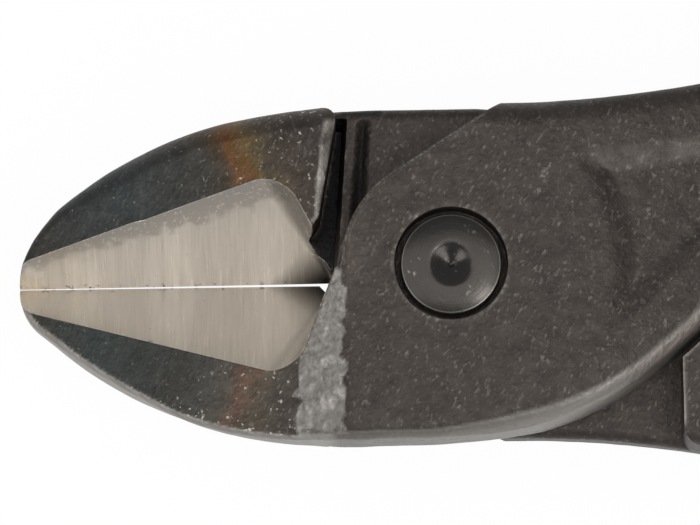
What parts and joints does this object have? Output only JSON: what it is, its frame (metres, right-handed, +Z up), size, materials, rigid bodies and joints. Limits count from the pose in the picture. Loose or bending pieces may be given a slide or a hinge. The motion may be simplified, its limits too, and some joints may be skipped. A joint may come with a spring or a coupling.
{
  "type": "insulated side cutters",
  "caption": "Side-cutting pliers with ground diagonal cutting jaws, a riveted lap joint and two-colour insulated grips with finger guards.",
  "frame": {"origin": "centre of the underside of the box round the closed tool, on the surface that it lies on", "axes": "+X from the jaws to the grips, +Y towards the front lever's handle, +Z up, along the pivot axis"},
  "size_m": [0.1602, 0.0522, 0.0194],
  "materials": {
    "forged_steel": "dark phosphated forging with bright ground cutting facets",
    "rivet_steel": "dark satin turned steel",
    "under_sleeve": "moulded, satin yellow",
    "grip_shell": "moulded, semi-gloss red",
    "grip_pad": "soft, matt yellow, ribbed"
  },
  "bodies": {
    "rear_half": {"rear_lever": "forged_steel", "rear_under_sleeve": "under_sleeve", "rear_grip_shell": "grip_shell", "rear_palm_pad": "grip_pad", "rear_finger_pad": "grip_pad", "rear_upper_thumb_pad": "grip_pad", "rear_lower_thumb_pad": "grip_pad", "pivot_rivet": "rivet_steel"},
    "front_half": {"front_lever": "forged_steel", "front_under_sleeve": "under_sleeve", "front_grip_shell": "grip_shell", "front_palm_pad": "grip_pad", "front_finger_pad": "grip_pad", "front_upper_thumb_pad": "grip_pad", "front_lower_thumb_pad": "grip_pad"}
  },
  "joints": [
    {"name": "jaw_pivot", "type": "hinge", "parent": "rear_half", "child": "front_half", "pos_m": [-0.05354, 0, 0.0097], "axis": [0, 0, 1], "range_deg": [0, 45]}
  ]
}
